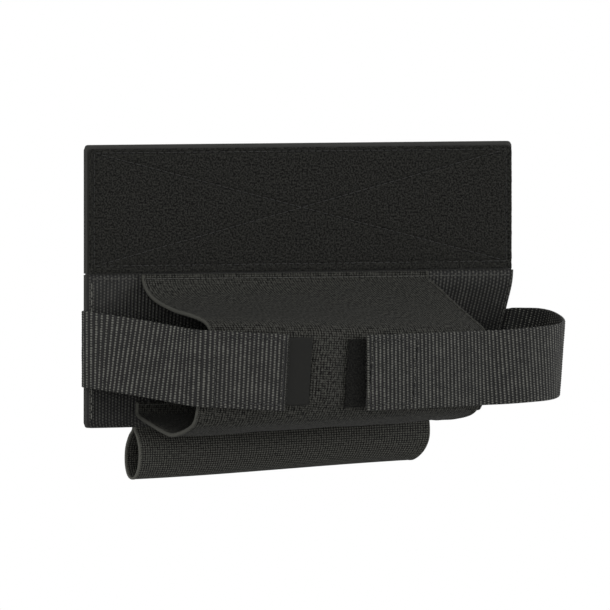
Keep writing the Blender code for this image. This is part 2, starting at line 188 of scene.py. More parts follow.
def noise(u, v, scale, seed):
    """Smooth noise from -1 to 1 with features about one scale across."""
    values = np.random.default_rng(seed).uniform(-1, 1, (97, 89))
    a, b = np.broadcast_arrays(u / scale + 31.7, v / scale + 17.3)
    i, j = np.floor(a).astype(int), np.floor(b).astype(int)
    s, t = ease(a - i), ease(b - j)

    def at(di, dj):
        return values[(i + di) % 97, (j + dj) % 89]

    near = at(0, 0) * (1 - s) + at(1, 0) * s
    far = at(0, 1) * (1 - s) + at(1, 1) * s
    return near * (1 - t) + far * t


def smooth_path(knots, per_span):
    """A Catmull-Rom curve through points of any number of coordinates."""
    knots = np.array(knots, float)
    last = len(knots) - 1
    t = (np.arange(per_span) / per_span)[:, None]
    spans = []
    for k in range(last):
        a, b = knots[max(k - 1, 0)], knots[k]
        c, d = knots[k + 1], knots[min(k + 2, last)]
        spans.append(0.5 * (2 * b + (c - a) * t + (2 * a - 5 * b + 4 * c - d) * t ** 2
                            + (3 * b - a - 3 * c + d) * t ** 3))
    return np.concatenate(spans + [knots[-1:]])


def distances(path):
    """The distance along a path to each of its points."""
    return np.concatenate([[0.0], np.cumsum(np.linalg.norm(np.diff(path, axis=0), axis=1))])


def read_path(path, along, at):
    """The path's values at the given distances along it."""
    return np.stack([np.interp(at, along, path[:, k]) for k in range(path.shape[1])], axis=-1)


# Meshes


def placed(name, data):
    """A new object in the scene."""
    made = bpy.data.objects.new(name, data)
    bpy.context.scene.collection.objects.link(made)
    return made


def piece(name, points, quads, uv, material):
    """A mesh of quads. uv holds each corner's place on the weave, in millimetres."""
    used, quads = np.unique(quads, return_inverse=True)
    points = points[used]
    quads = quads.reshape(-1, 4)
    mesh = bpy.data.meshes.new(name)
    mesh.vertices.add(len(points))
    mesh.vertices.foreach_set("co", points.astype(np.float32).ravel())
    mesh.loops.add(quads.size)
    mesh.loops.foreach_set("vertex_index", quads.astype(np.int32).ravel())
    mesh.polygons.add(len(quads))
    mesh.polygons.foreach_set("loop_start", np.arange(0, quads.size, 4, dtype=np.int32))
    mesh.polygons.foreach_set("loop_total", np.full(len(quads), 4, dtype=np.int32))
    mesh.update(calc_edges=True)
    mesh.uv_layers.new(name="weave").data.foreach_set("uv", uv.astype(np.float32).ravel())
    mesh.shade_smooth()
    mesh.materials.append(material)
    mesh.validate()
    return placed(name, mesh)


def quads_of(grid):
    """The four corners of each cell of a grid of indices or of weave places."""
    return np.stack([grid[:-1, :-1], grid[:-1, 1:], grid[1:, 1:], grid[1:, :-1]], axis=2)


def shell(name, centre, u, v, half, material, front=0.0, back=0.0, edge=None, closed=False,
          apart=(0.0, 0.0)):
    """A closed sheet round a grid of centre points, with rounded edges.

    u and v are the distances along the sheet's two sides. front and back raise the two
    faces, as the weave does. A closed sheet joins its last line of v to its first. apart
    shifts the weave coordinates of either face, for one that looks different.
    """
    edge = edge or half
    along = np.gradient(centre, axis=0)
    if closed:
        across = np.roll(centre, -1, axis=1) - np.roll(centre, 1, axis=1)
    else:
        across = np.gradient(centre, axis=1)
    normal = unit(np.cross(across, along))
    inside = np.minimum(u - u[0], u[-1] - u)[:, None] + np.zeros((1, centre.shape[1]))
    if not closed:
        inside = np.minimum(inside, np.minimum(v - v[0], v[-1] - v)[None, :])
    share = np.clip(inside / edge, 0, 1)
    rounding = np.sqrt(1 - (1 - share) ** 2)[..., None]

    def raised(height):
        return np.broadcast_to(np.asarray(half + height), centre.shape[:2])[..., None]

    upper = centre + normal * raised(front) * rounding
    lower = centre - normal * raised(back) * rounding
    count = centre.shape[0] * centre.shape[1]
    top = np.arange(count).reshape(centre.shape[:2])
    bottom = top + count
    bottom[[0, -1]] = top[[0, -1]]
    if not closed:
        bottom[:, [0, -1]] = top[:, [0, -1]]
    width = list(v)
    if closed:
        top, bottom = (np.concatenate([g, g[:, :1]], axis=1) for g in (top, bottom))
        width.append(2 * v[-1] - v[-2])
    places = stack(u[:, None], np.array(width)[None, :], 0)[..., :2] / MM
    quads = [quads_of(top).reshape(-1, 4), quads_of(bottom).reshape(-1, 4)[:, ::-1]]
    corners = quads_of(places).reshape(-1, 4, 2)
    points = np.concatenate([upper.reshape(-1, 3), lower.reshape(-1, 3)])
    uv = np.concatenate([corners + np.array([0.0, apart[0]]),
                         corners[:, ::-1] + np.array([0.0, apart[1]])])
    return piece(name, points, np.concatenate(quads), uv, material)


def rods(name, spines, radii, ups, material, sides):
    """Many short rods with an even number of sides, such as stitches, along rows of points."""
    count, rings = spines.shape[:2]
    tangent = unit(np.gradient(spines, axis=1))
    side = unit(np.cross(tangent, ups))
    lift = np.cross(side, tangent)
    angle = 2 * math.pi * np.arange(sides) / sides
    round_it = (np.cos(angle)[:, None] * side[:, :, None] +
                np.sin(angle)[:, None] * lift[:, :, None])
    points = spines[:, :, None] + radii[:, :, None, None] * round_it
    index = np.arange(count * rings * sides).reshape(count, rings, sides)
    wrapped = np.concatenate([index, index[:, :, :1]], axis=2)
    walls = np.stack([wrapped[:, :-1, :-1], wrapped[:, 1:, :-1],
                      wrapped[:, 1:, 1:], wrapped[:, :-1, 1:]], axis=-1)
    caps = []
    for k in range(0, sides - 2, 2):
        fan = [0, k + 1, k + 2, k + 3]
        caps.append(index[:, 0, fan])
        caps.append(index[:, -1, fan][:, ::-1])
    quads = np.concatenate([walls.reshape(-1, 4)] + [c.reshape(-1, 4) for c in caps])
    length = np.linalg.norm(np.diff(spines, axis=1), axis=2).cumsum(axis=1)
    length = np.concatenate([np.zeros((count, 1)), length], axis=1) / MM
    place = stack(length[:, :, None], angle[None, None, :], 0)[..., :2].reshape(-1, 2)
    return piece(name, points.reshape(-1, 3), quads, place[quads], material)


def stitches(line, normal, material, pitch=4.0 * MM, length=3.3 * MM, radius=0.27 * MM):
    """A row of lockstitches along a line: each one rises from its hole and dips back into it."""
    along = distances(line)
    count = max(int(along[-1] / pitch), 1)
    centres = (np.arange(count) + 0.5) * along[-1] / count
    share = steps(-1, 1, 9)
    at = centres[:, None] + share[None, :] * length / 2
    at = np.clip(at, 0, along[-1])
    spines = read_path(line, along, at)
    ups = read_path(np.broadcast_to(normal, line.shape), along, at)
    spines = spines + ups * (STITCH_LIFT * (1 - share ** 2) ** 0.6 - 0.5 * radius)[None, :, None]
    shape = radius * (0.35 + 0.65 * np.sqrt(1 - share ** 4))
    radii = np.broadcast_to(shape, at.shape) * rng.uniform(0.9, 1.1, (count, 1))
    return rods("row", spines, radii, ups, material, sides=8)


# Materials


# All the blacks are a little warm
BLUE_SHARE = 0.87


class Recipe:
    """A Principled material that is built up from the weave's own coordinates."""

    def __init__(self, name, roughness, sheen, specular):
        self.material = bpy.data.materials.new(name)
        self.material.use_nodes = True
        self.tree = self.material.node_tree
        self.shader = self.tree.nodes["Principled BSDF"]
        self.shader.inputs["Sheen Weight"].default_value = sheen
        self.shader.inputs["Sheen Roughness"].default_value = 0.45
        self.shader.inputs["Specular IOR Level"].default_value = specular
        self.shader.inputs["Roughness"].default_value = roughness
        place = self.node("UVMap")
        place.uv_map = "weave"
        self.place = place.outputs["UV"]
        parts = self.node("SeparateXYZ")
        self.fill(parts.inputs[0], self.place)
        self.u, self.v = parts.outputs[0], parts.outputs[1]

    def node(self, kind):
        return self.tree.nodes.new("ShaderNode" + kind)

    def fill(self, socket, value):
        """Sets a socket to a number, or links it to another socket."""
        if isinstance(value, bpy.types.NodeSocket):
            self.tree.links.new(value, socket)
        else:
            socket.default_value = value

    def calc(self, operation, *values):
        node = self.node("Math")
        node.operation = operation
        for socket, value in zip(node.inputs, values):
            self.fill(socket, value)
        return node.outputs[0]

    def plus(self, base, share, value):
        """The base with a share of the value added."""
        return self.calc("MULTIPLY_ADD", value, share, base)

    def wave(self, distance, pitch, shift=0.0):
        """A cosine from 0, in a valley, to 1, on a crest."""
        turned = self.calc("MULTIPLY_ADD", distance, 2 * math.pi / pitch, shift)
        return self.calc("MULTIPLY_ADD", self.calc("COSINE", turned), 0.5, 0.5)

    def speckle(self, scale, detail=2.0, stretch=(1.0, 1.0)):
        """Noise from 0 to 1 with about scale spots to a millimetre."""
        mapping = self.node("Mapping")
        mapping.inputs["Scale"].default_value = (stretch[0], stretch[1], 1.0)
        self.fill(mapping.inputs["Vector"], self.place)
        node = self.node("TexNoise")
        node.inputs["Scale"].default_value = scale
        node.inputs["Detail"].default_value = detail
        self.fill(node.inputs["Vector"], mapping.outputs[0])
        return node.outputs[0]

    def colour(self, value, dark, light, low=0.0, high=1.0):
        """The base colour: from a dark shade, where value is low, to a light one."""
        node = self.node("MapRange")
        node.interpolation_type = "SMOOTHSTEP"
        node.inputs["From Min"].default_value = low
        node.inputs["From Max"].default_value = high
        self.fill(node.inputs["Value"], value)
        mix = self.node("Mix")
        mix.data_type = "RGBA"
        self.fill(mix.inputs[0], node.outputs[0])
        mix.inputs[6].default_value = (dark, dark, dark * BLUE_SHARE, 1.0)
        mix.inputs[7].default_value = (light, light, light * BLUE_SHARE, 1.0)
        self.fill(self.shader.inputs["Base Color"], mix.outputs[2])

    def surface(self, value, shine, height, distance):
        """The finished material. Its roughness follows value between the two of shine."""
        node = self.node("MapRange")
        node.inputs["To Min"].default_value = shine[0]
        node.inputs["To Max"].default_value = shine[1]
        self.fill(node.inputs["Value"], value)
        self.fill(self.shader.inputs["Roughness"], node.outputs[0])
        bump = self.node("Bump")
        bump.inputs["Distance"].default_value = distance
        self.fill(bump.inputs["Height"], height)
        self.fill(self.shader.inputs["Normal"], bump.outputs[0])
        return self.material


def webbing_material(name, rib, pick, dark, light, relief):
    """Nylon webbing: staggered picks on every rib, made of fine shiny filaments.

    The inner side of a strap is smooth, and is painted darker as painted shade.
    """
    look = Recipe(name, 0.62, 0.03, 0.30)
    rib_mm, pick_mm = rib / MM, pick / MM
    number = look.calc("FLOOR", look.calc("DIVIDE", look.u, rib_mm))
    stagger = look.calc("MULTIPLY", number, math.pi)
    ribs = look.calc("POWER", look.wave(look.u, rib_mm, math.pi), 1.2)
    picks = look.wave(look.v, pick_mm, stagger)
    filaments = look.speckle(3.2, 2.0, (0.5, 2.6))
    crest = look.calc("MULTIPLY", ribs, look.calc("MULTIPLY_ADD", picks, 0.6, 0.4))
    height = look.plus(crest, 0.35, filaments)
    # The colour follows the ribs: crests painted lighter as painted highlight and valleys darker as painted
    # shade; the flecks and clouds are real random tone
    flecked = look.plus(crest, 0.8, look.speckle(0.7))
    cloudy = look.plus(flecked, 0.6, look.speckle(0.16))
    # The inner face is painted darker: painted shade on the side that faces in
    inner = look.calc("GREATER_THAN", look.v, INNER_V / 2)
    look.colour(look.plus(cloudy, -0.16, inner), dark, light, 0.96, 1.66)
    return look.surface(filaments, (0.5, 0.8), height, relief)


def elastic_material(name, rib, dark, light, grain, width):
    """Woven elastic: a close grid of covered rubber ribs and thin picks, with a painted highlight along its
    rims.
    """
    look = Recipe(name, 0.80, 0.02, 0.10)
    ribs = look.wave(look.u, rib / MM)
    picks = look.wave(look.v, ELASTIC_PICK / MM)
    grid = look.calc("MULTIPLY", look.calc("POWER", ribs, 0.7), look.calc("POWER", picks, 0.7))
    fibre = look.speckle(0.9, 4.0, (1.3, 0.8))
    height = look.plus(grid, 1.2, fibre)
    coarse = look.plus(height, grain, look.speckle(1.15, 2.0, (1.0, 0.42)))
    # Both rims are painted paler: a painted highlight on the rounded hems
    from_rim = look.calc("MINIMUM", look.u, look.calc("SUBTRACT", width / MM, look.u))
    rim = look.calc("MAXIMUM", look.calc("MULTIPLY_ADD", from_rim, -1.0, 1.4), 0.0)
    shade = look.plus(coarse, 0.9, rim)
    look.colour(shade, dark, light, 0.55 + 0.40 * grain, 1.45 + 0.60 * grain)
    return look.surface(fibre, (0.62, 0.86), height, 0.22 * MM)


def pile_material(name, dark, light):
    """Loop pile: a dense tangle of fine loops, darker where it parts."""
    look = Recipe(name, 0.9, 0.03, 0.12)
    tangle = look.speckle(1.1, 4.0)
    fine = look.speckle(3.4)
    height = look.plus(tangle, 0.6, fine)
    look.colour(height, dark, light, 0.68, 0.94)
    return look.surface(fine, (0.8, 1.0), height, 0.5 * MM)


def hook_material(name, dark, light):
    """Hook tape: rows of small stiff hooks on a woven ground."""
    look = Recipe(name, 0.55, 0.03, 0.4)
    hooks = look.calc("MULTIPLY", look.wave(look.u, 1.5), look.wave(look.v, 1.8))
    ground = look.speckle(2.8)
    height = look.plus(hooks, 0.3, ground)
    look.colour(height, dark, light, 0.1, 1.1)
    return look.surface(ground, (0.4, 0.7), height, 0.3 * MM)


def nylon_material(name, dark, light):
    """Coated pack cloth: a fine plain weave with a dull shine."""
    look = Recipe(name, 0.6, 0.06, 0.35)
    over = look.calc("MULTIPLY", look.wave(look.u, 0.9), look.wave(look.v, 0.9))
    under = look.calc("MULTIPLY", look.wave(look.u, 0.9, math.pi), look.wave(look.v, 0.9, math.pi))
    weave = look.calc("ADD", over, under)
    fibre = look.speckle(3.0)
    height = look.plus(weave, 0.3, fibre)
    cloudy = look.plus(height, 0.5, look.speckle(0.08))
    look.colour(cloudy, dark, light, 0.3, 1.6)
    return look.surface(fibre, (0.5, 0.75), height, 0.12 * MM)


def thread_material(name, dark, light):
    """Bonded nylon thread: a slanting twist."""
    look = Recipe(name, 0.5, 0.05, 0.45)
    slant = look.calc("MULTIPLY_ADD", look.u, 7.0, look.v)
    twist = look.wave(slant, 2 * math.pi / 3)
    look.colour(twist, dark, light)
    return look.surface(twist, (0.6, 0.42), twist, 0.05 * MM)


def label_material(name, dark, light):
    """A plain woven label: satin, with fine lengthwise yarns."""
    look = Recipe(name, 0.55, 0.0, 0.12)
    yarns = look.wave(look.u, 0.45)
    ticks = look.wave(look.v, 1.1, look.calc("MULTIPLY", look.u, 5.0))
    height = look.plus(yarns, 0.3, ticks)
    look.colour(height, dark, light)
    return look.surface(look.speckle(1.2), (0.45, 0.6), height, 0.05 * MM)


STRAP = webbing_material("strap_webbing", STRAP_RIB, STRAP_PICK, 0.001, 0.110, 0.14 * MM)
RIBBED = webbing_material("facing_webbing", FACING_RIB, FACING_PICK, 0.001, 0.054, 0.20 * MM)
SLEEVE = elastic_material("sleeve_elastic", SLEEVE_RIB, 0.001, 0.056, 2.8, SLEEVE_RIGHT - SLEEVE_LEFT)
TUBE = elastic_material("tube_elastic", TUBE_RIB, 0.002, 0.078, 0.8, TUBE_RIGHT - TUBE_LEFT)
PILE = pile_material("loop_pile", 0.0005, 0.026)
# A darker copy of the loop pile, for the loop pads: painted shade under the tabs
PAD_PILE_PAINTED_SHADE = pile_material("pad_pile", 0.0005, 0.012)
HOOKS = hook_material("hook_tape", 0.008, 0.022)
NYLON = nylon_material("pack_cloth", 0.010, 0.022)
THREAD = thread_material("nylon_thread", 0.020, 0.060)
# A lighter copy of the thread: a painted highlight along the facing's left edge
EDGE_THREAD_PAINTED_HIGHLIGHT = thread_material("edge_thread_painted_highlight", 0.050, 0.160)
# A darker copy of the thread: painted shade where the flap's rows sink into the pile
SUNK_THREAD_PAINTED_SHADE = thread_material("sunk_thread_painted_shade", 0.003, 0.012)
# A darker copy of the thread: painted shade in the tab stitches' holes
TAB_THREAD_PAINTED_SHADE = thread_material("tab_thread", 0.002, 0.008)
LABEL = label_material("woven_label", 0.005, 0.011)


# The flap


def narrowed(z, half, top):
    """The share of a panel's width that is left at z, where its corners at top are rounded."""
    into = np.clip(z - top + CORNER_RADIUS, 0, CORNER_RADIUS)
    return (half - CORNER_RADIUS + np.sqrt(CORNER_RADIUS ** 2 - into ** 2)) / half


def flat_layer(name, layer, half, top, material, step, front=None, edge=None):
    """A flat layer of the flap, between two depths."""
    thick = (layer[1] - layer[0]) / 2
    edge = edge or thick
    u = edged(2 * half, step, edge)
    v = edged(top - SEAM_Z - GAP, step, edge)
    z = (top - v)[None, :]
    centre = stack((u[:, None] - half) * narrowed(z, half, top), -(layer[0] + thick), z)
    relief = 0.0 if front is None else front(u[:, None] - half, z)
    return shell(name, centre, u, v, thick, material, front=relief, edge=edge)


ROW_INSET = 4 * MM
ROW_X = PANEL_WIDTH / 2 - ROW_INSET
ROW_Z = FLAP_TOP - ROW_INSET
CROSS_REACH = 0.97

# How deep the flap's rows are sunk into the pile
BORDER_SUNK = (0.50 * MM, 0.95 * MM, 0.95 * MM, 0.95 * MM)
CROSS_SUNK = (0.55 * MM, 0.55 * MM)


def from_rows(x, z):
    """The distance from a point of the flap to its nearest row of stitches."""
    box = np.minimum(np.abs(np.abs(x) - ROW_X), np.abs(np.abs(z) - ROW_Z))
    run = math.hypot(ROW_X, ROW_Z)
    cross = np.abs(np.abs(x) * ROW_Z - np.abs(z) * ROW_X) / run
    return np.minimum(box, cross)


def pile_relief(x, z):
    """The pile's lumps, pressed down under the stitches."""
    lumps = 0.30 * noise(x, z, 1.1 * MM, 1) + 0.22 * noise(x, z, 2.6 * MM, 2)
    lumps = lumps + 0.12 * noise(x, z, 9 * MM, 3)
    pressed = np.exp(-(from_rows(x, z) / (0.9 * MM)) ** 2)
    return MM * (lumps * (1 - 0.6 * pressed) - 0.75 * pressed - 0.15)


def flap_row(ends, sunk):
    """A row of stitches in the loop pile, which hides it where it is sunk deep."""
    x, z = line_between(*ends, 60).T
    depth = FACE_DEPTH - sunk + 0.3 * MM * noise(x, z, 14 * MM, 41)
    # These rows use the darker thread: painted shade in the pile's dips
    return stitches(stack(x, -depth, z), (0.0, -1.0, 0.0), SUNK_THREAD_PAINTED_SHADE, radius=0.22 * MM)


def rear_flap_row(ends):
    """The same row where it comes out between the hooks."""
    x, z = line_between(*ends, 60).T
    return stitches(stack(x, -0.12 * MM, z), (0.0, 1.0, 0.0), THREAD, radius=0.22 * MM)


def joined(name, parts):
    """Several meshes made into one piece."""
    bpy.ops.object.select_all(action="DESELECT")
    for other in parts:
        other.select_set(True)
    bpy.context.view_layer.objects.active = parts[0]
    bpy.ops.object.join()
    parts[0].name = name
    parts[0].data.name = name
    parts[0].select_set(False)
    return parts[0]


def flap_stitches(name, node, lines, sunk):
    """Rows of stitches right through the flap, as one piece."""
    front = [flap_row(ends, depth) for ends, depth in zip(lines, sunk)]
    made = joined(name, front + [rear_flap_row(ends) for ends in lines])
    finish_piece(made, "flap", "sewing_thread", node)


def make_flap():
    hooks = flat_layer("rear_hook_tape", HOOK_LAYER, PANEL_WIDTH / 2, FLAP_TOP, HOOKS, 2 * MM)
    finish_piece(hooks, "flap", "hook_tape", "rear_hook_field")
    pile = flat_layer("front_loop_pile", LOOP_LAYER, LOOP_RIGHT, LOOP_TOP, PILE, 0.62 * MM,
                      pile_relief, edge=1.0 * MM)
    finish_piece(pile, "flap", "loop_pile", "front_loop_field")
    flap_stitches("flap_border_stitches", "flap_border_thread",
                  box_sides(-ROW_X, ROW_X, ROW_Z, -ROW_Z), BORDER_SUNK)
    x, z = CROSS_REACH * ROW_X, CROSS_REACH * ROW_Z
    flap_stitches("flap_cross_stitches", "flap_cross_thread",
                  (((-x, -z), (x, z)), ((-x, z), (x, -z))), CROSS_SUNK)


def finish_piece(made, body, slot, *nodes):
    """Says which body a piece rides on and which nodes it stands for. slot, what it is made of, is not used.
    """
    if body:
        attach(made, body)
    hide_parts(*nodes)


# The pouch panel


def curl_angle(x):
    """How far the pouch panel turns back at x."""
    share = np.clip((x - PANEL_LEFT) / PANEL_WIDTH, 0, 1)
    return np.maximum(CURL_ANGLE * (1 - (1 - share) ** CURL_POWER), 1e-6)


def on_pouch(x, below, depth):
    """A point of the pouch panel: x along it, a distance below the seam, and a depth."""
    angle = curl_angle(x)
    radius = CURL_START / angle
    share = np.clip(below / CURL_START, 0, 1)
    turned = angle * share
    straight = below - CURL_START * share
    back = straight * np.sin(angle) + radius * (1 - np.cos(turned))
    down = straight * np.cos(angle) + radius * np.sin(turned)
    return stack(x, back - depth * np.cos(turned), SEAM_Z - down - depth * np.sin(turned))


def panel_normal(x, below):
    """The direction out of the pouch panel's front."""
    turned = curl_angle(x) * np.clip(below / CURL_START, 0, 1)
    return stack(0 * turned, -np.cos(turned), -np.sin(turned))


def clear_of_facing(x, depth, z):
    """The points, or the nearest ones that leave room for the elastic on the facing."""
    angle = curl_angle(x)
    radius = CURL_START / angle
    down = SEAM_Z - z
    around = np.arctan2(down, depth + radius)
    ahead = depth + radius * (1 - np.cos(angle))
    under = down - radius * np.sin(angle)
    below = CURL_START + under * np.cos(angle) - ahead * np.sin(angle)
    off_panel = ahead * np.cos(angle) + under * np.sin(angle)
    below = np.where(around < angle, around * radius, below)
    off_panel = np.where(around < angle, np.hypot(down, depth + radius) - radius, off_panel)
    return on_pouch(x, below, np.maximum(off_panel, FLANGE_DEPTH))


def pouch_layer(name, node, slot, layer, material, step, front=None):
    """One layer of the pouch panel, with its two bottom corners rounded."""
    thick = (layer[1] - layer[0]) / 2
    half = PANEL_WIDTH / 2
    u = edged(PANEL_WIDTH, step[0], thick)
    v = edged(POUCH_HEIGHT - GAP, step[1], thick)
    below = (GAP + v)[None, :]
    centre = on_pouch((u[:, None] - half) * narrowed(below, half, POUCH_HEIGHT), below, layer[0] + thick)
    relief = 0.0 if front is None else front(u[:, None], v[None, :])
    made = shell(name, centre, u, v, thick, material, front=relief)
    finish_piece(made, "pouch", slot, node)


def rib_relief(u, v, rib, pick, tall, beads):
    """Staggered picks on parallel ribs, from 0 in the valleys to tall on the crests."""
    turn = u / rib
    crest = 1 - np.abs(2 * (turn - np.floor(turn)) - 1) ** 1.8
    picks = 0.5 + 0.5 * np.cos(2 * math.pi * v / pick + math.pi * np.floor(turn))
    return tall * crest * (1 - beads + beads * picks)


def carrier_cloth():
    """The cloth inside the panel, which runs through the seam and is the flap's hinge."""
    thick = (CORE_LAYER[1] - CORE_LAYER[0]) / 2
    half = PANEL_WIDTH / 2
    u = edged(PANEL_WIDTH, 2.5 * MM, thick)
    v = edged(FLAP_TOP - SEAM_Z + POUCH_HEIGHT, 1.0 * MM, thick)
    z = (FLAP_TOP - v)[None, :]
    below = np.maximum(SEAM_Z - z, 0)
    x = (u[:, None] - half) * narrowed(z, half, FLAP_TOP) * narrowed(below, half, POUCH_HEIGHT)
    depth = CORE_LAYER[0] + thick
    flap = stack(x, -depth, z)
    pouch = on_pouch(x, below, depth)
    centre = np.where((z > SEAM_Z)[..., None], flap, pouch)
    made = shell("carrier_cloth", centre, u, v, thick, NYLON)
    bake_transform(made)
    finish_piece(made, None, "woven_nylon", "flap_core", "pouch_core")


def panel_row(x, below, thread):
    """An upright row of stitches on the facing."""
    line = on_pouch(np.full(len(below), x), below, FACE_DEPTH - 0.1 * MM)
    return stitches(line, panel_normal(x, below), thread)


def seam_row(below, depth, left, right, **stitch):
    """A row of stitches that runs along the panel."""
    x = steps(left, right, 80)
    line = on_pouch(x, np.full(80, below), depth)
    return stitches(line, panel_normal(x, below), THREAD, **stitch)


def rear_row(x, below):
    """Where a row of stitches comes out of the rear lining."""
    line = on_pouch(x, below, 0.1 * MM)
    return stitches(line, -panel_normal(x, below), THREAD, radius=0.24 * MM)


def seam_stitches(name, node, below, depth, left, right, **stitch):
    """A row of stitches along the panel and right through it, as one piece."""
    front = seam_row(below, depth, left, right, **stitch)
    behind = rear_row(steps(left, right, 80), np.full(80, below))
    finish_piece(joined(name, [front, behind]), "pouch", "sewing_thread", node)


def make_pouch():
    carrier_cloth()
    pouch_layer("rear_lining_cloth", "rear_lining", "woven_nylon", LINING_LAYER, NYLON, (2.5 * MM, 2 * MM))

    def ribs(u, v):
        return rib_relief(u, v, FACING_RIB, FACING_PICK, 0.34 * MM, 0.0) - 0.24 * MM

    pouch_layer("facing_webbing", "ribbed_facing", "ribbed_webbing", FACING_LAYER, RIBBED,
                (0.3 * MM, 1.9 * MM), ribs)
    edge = PANEL_WIDTH / 2 - 2 * MM
    sleeve_ends = (SLEEVE_LEFT - SEAM_SHIFT - 1 * MM, SLEEVE_RIGHT - SEAM_SHIFT + 1 * MM)
    below = steps(4 * MM, POUCH_HEIGHT - 4 * MM, 40)
    # The left row's thread is painted lighter: a painted highlight on the facing's edge
    for side, x, end, thread in (("left", -edge, sleeve_ends[0], EDGE_THREAD_PAINTED_HIGHLIGHT),
                                 ("right", edge, sleeve_ends[1], THREAD)):
        upright = panel_row(x, below, thread)
        along_top = seam_row(TOP_ROW_BELOW, ON_FACING, min(x, end), max(x, end), **FINE_STITCH)
        behind = rear_row(np.full(len(below), x), below)
        row = joined(f"facing_stitches_{side}", [upright, along_top, behind])
        finish_piece(row, "pouch", "sewing_thread", f"facing_thread_{side}")


# The two elastics' rims: how far in their hem and its sewn channel lie, how wide they are
# and how tall or deep
SLEEVE_HEM = (1.3 * MM, 0.5 * MM, 0.34 * MM)
SLEEVE_CHANNEL = (2.2 * MM, 0.45 * MM, 0.16 * MM)
TUBE_HEM = (1.8 * MM, 0.4 * MM, 0.12 * MM)
TUBE_CHANNEL = (2.4 * MM, 0.4 * MM, 0.10 * MM)


def rim_relief(u, v, hem, channel):
    """A doubled hem along both rims, with a channel where it is sewn down."""
    rim = np.minimum(u, u[-1] - u)[:, None]
    doubled = hem[2] * (1 - ease((rim - hem[0]) / hem[1]))
    return doubled - channel[2] * np.exp(-((rim - channel[0]) / channel[1]) ** 2) + 0 * v[None, :]


# The elastic sleeve


def sleeve_share(x):
    return (x - SLEEVE_LEFT) / (SLEEVE_RIGHT - SLEEVE_LEFT)


def bulge(x):
    return SLEEVE_BULGE * (1 - (2 * sleeve_share(x) - 1) ** 2)


def between(pair, x):
    return pair[0] + (pair[1] - pair[0]) * sleeve_share(x)


def front_depth(x, z):
    """The depth of the sleeve's front face, which leans back towards its foot."""
    return between(FRONT_TOP_DEPTH, x) + bulge(x) + between(FRONT_LEAN, x) * (z - FRONT_TOP_Z)


def front_tilt(x):
    return np.arctan(between(FRONT_LEAN, x))


def sheared(x, depth, z):
    """The elastic's own place along the panel: its two seams lie further left than its front,
    and the upper front corner of its left rim is drawn in."""
    drawn_in = ease((-38 * MM - z) / (23 * MM)) * ease((z + 80 * MM) / (19 * MM))
    drawn_in = drawn_in * ease(depth / (20 * MM)) * (1 - sleeve_share(x)) ** 2
    return x - SEAM_SHIFT * np.maximum(0, 1 - depth / SEAM_SHIFT_DEPTH) + RIM_SLANT * drawn_in


def sleeve_section(x):
    """The sleeve's section at x, from its top seam round the front to its bottom seam."""
    def knot(left, right, swell):
        depth = between((left[0] * MM, right[0] * MM), x) + swell * bulge(x)
        return (depth, between((left[1] * MM, right[1] * MM), x))

    def on_facing(below, depth):
        point = on_pouch(x, below * MM, depth)
        return (-point[1], point[2])

    knots = [
        on_facing(0.4, FLANGE_DEPTH),
        on_facing(3.0, FLANGE_DEPTH),
        knot((8.5, -40.0), (8.5, -38.0), 0.05),
        knot((15.0, -45.2), (16.0, -41.8), 0.15),
        knot((28.0, -49.5), (28.0, -48.2), 0.4),
        knot((41.0, -52.2), (41.0, -55.0), 0.7),
        knot((50.0, -55.2), (50.0, -59.8), 0.95),
        knot((53.6, -59.7), (54.2, -63.2), 1.0),
        *[(front_depth(x, z * MM), z * MM) for z in (-67.0, -82.0, -96.5)],
        knot((46.7, -106.8), (42.5, -102.2), 0.8),
        knot((32.0, -111.9), (29.0, -105.0), 0.5),
        knot((21.5, -110.1), (19.0, -105.6), 0.3),
        knot((12.8, -106.8), (8.0, -105.6), 0.15),
        on_facing(70.5, FLANGE_DEPTH + 3 * MM),
        on_facing(68.0, FLANGE_DEPTH),
        on_facing(63.5, FLANGE_DEPTH),
    ]
    section = smooth_path(knots, 12)
    depth, z = section[:, 0], section[:, 1]
    return clear_of_facing(sheared(x, depth, z), depth, z)


def swell_between_pads(x, z, on_front):
    """How the elastic swells forward between the two pads that the straps pull tight."""
    rise = ease((x + 36 * MM) / (16 * MM)) * (1 - ease((x + 19 * MM) / (9 * MM)))
    tall = np.cos(np.clip((z + 80.5 * MM) / (23 * MM), -1, 1) * math.pi / 2) ** 2
    return stack(0, -SWELL * rise * tall * on_front, 0)


